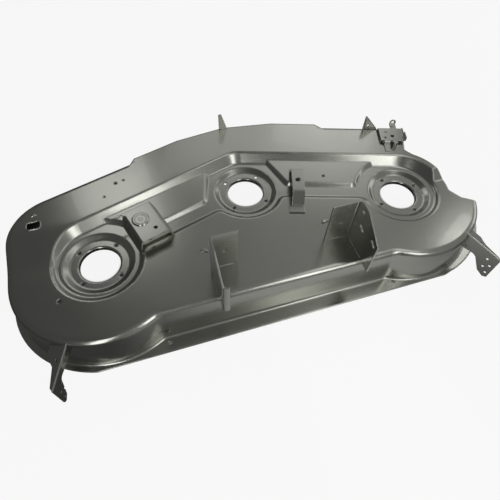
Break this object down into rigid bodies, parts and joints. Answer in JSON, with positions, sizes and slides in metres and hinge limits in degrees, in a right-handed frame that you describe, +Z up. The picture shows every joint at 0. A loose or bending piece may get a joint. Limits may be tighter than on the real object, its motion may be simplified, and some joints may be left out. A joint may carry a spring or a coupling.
{
  "type": "lawn mower deck",
  "caption": "Bare pressed steel cutting deck of a ride-on mower, with a sunken belt pan, collared spindle openings, side discharge and welded hanger, wheel and idler brackets.",
  "frame": {"origin": "centre spindle axis, on the upper face of the flat that the spindle housing bolts to", "axes": "+X across the deck to the discharge side, +Y to the front of the machine, +Z up along the spindles"},
  "size_m": [1.4349, 0.7123, 0.28],
  "materials": {
    "shell_paint": "glossy metallic grey paint",
    "bracket_paint": "glossy metallic grey paint"
  },
  "bodies": {
    "root": {"deck_shell": "shell_paint", "front_baffle": "shell_paint", "idler_bracket": "bracket_paint", "belt_keeper": "bracket_paint", "left_hanger_bracket": "bracket_paint", "right_hanger_bracket": "bracket_paint", "left_wheel_bracket": "bracket_paint", "right_wheel_bracket": "bracket_paint", "chute_hinge_plate": "bracket_paint", "chute_stud": "bracket_paint", "front_gusset": "bracket_paint", "front_tab": "bracket_paint"}
  },
  "joints": []
}
